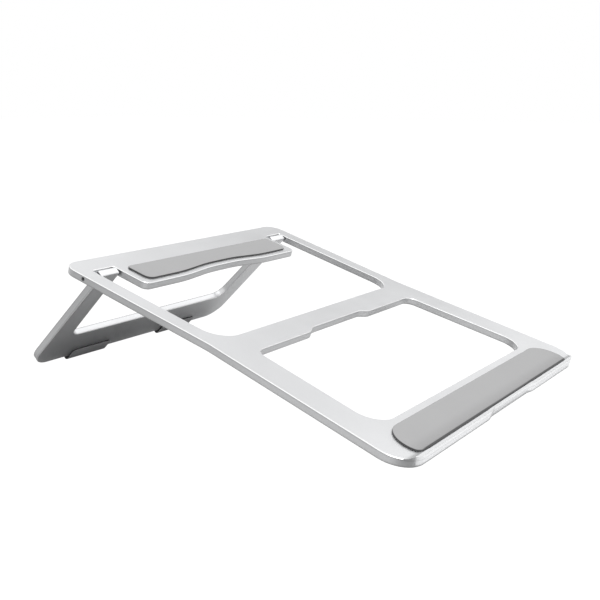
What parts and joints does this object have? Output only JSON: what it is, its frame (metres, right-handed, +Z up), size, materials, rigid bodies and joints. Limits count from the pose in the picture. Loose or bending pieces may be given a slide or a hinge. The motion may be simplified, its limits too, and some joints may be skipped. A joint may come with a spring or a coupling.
{
  "type": "laptop stand",
  "caption": "Folding aluminium laptop stand: a sloping windowed plate with a front lip, held up by a rear leg frame that folds flat into it.",
  "frame": {"origin": "middle of the open stand's footprint, on the table it stands on", "axes": "+Z up, +X to the user's right, +Y to the rear, away from the user; the plate slopes down towards -Y"},
  "size_m": [0.2306, 0.2854, 0.074],
  "materials": {
    "aluminium": "bead blasted and clear anodised, with polished chamfers",
    "steel": "ground",
    "black_steel": "black oxide",
    "bearing_plastic": "moulded",
    "silicone": "matt silicone",
    "dark_silicone": "matt silicone",
    "adhesive": "pressure-sensitive adhesive sheet"
  },
  "bodies": {
    "plate": {"top_plate": "aluminium", "hinge_pin_left": "steel", "hinge_pin_right": "steel", "hinge_plug_left": "black_steel", "hinge_plug_right": "black_steel", "rear_pad": "silicone", "rear_pad_adhesive": "adhesive", "front_pad": "silicone", "front_pad_adhesive": "adhesive", "front_foot_left": "dark_silicone", "front_foot_right": "dark_silicone", "front_foot_adhesive_left": "adhesive", "front_foot_adhesive_right": "adhesive"},
    "leg": {"leg_frame": "aluminium", "hinge_bush_left": "bearing_plastic", "hinge_bush_right": "bearing_plastic", "washer_outer_left": "bearing_plastic", "washer_outer_right": "bearing_plastic", "washer_inner_left": "bearing_plastic", "washer_inner_right": "bearing_plastic", "leg_foot_left": "dark_silicone", "leg_foot_right": "dark_silicone"}
  },
  "joints": [
    {"name": "leg_hinge", "type": "hinge", "parent": "plate", "child": "leg", "pos_m": [0, 0.07393, 0.06677], "axis": [-1, 0, 0], "range_deg": [0, 119.5]}
  ]
}
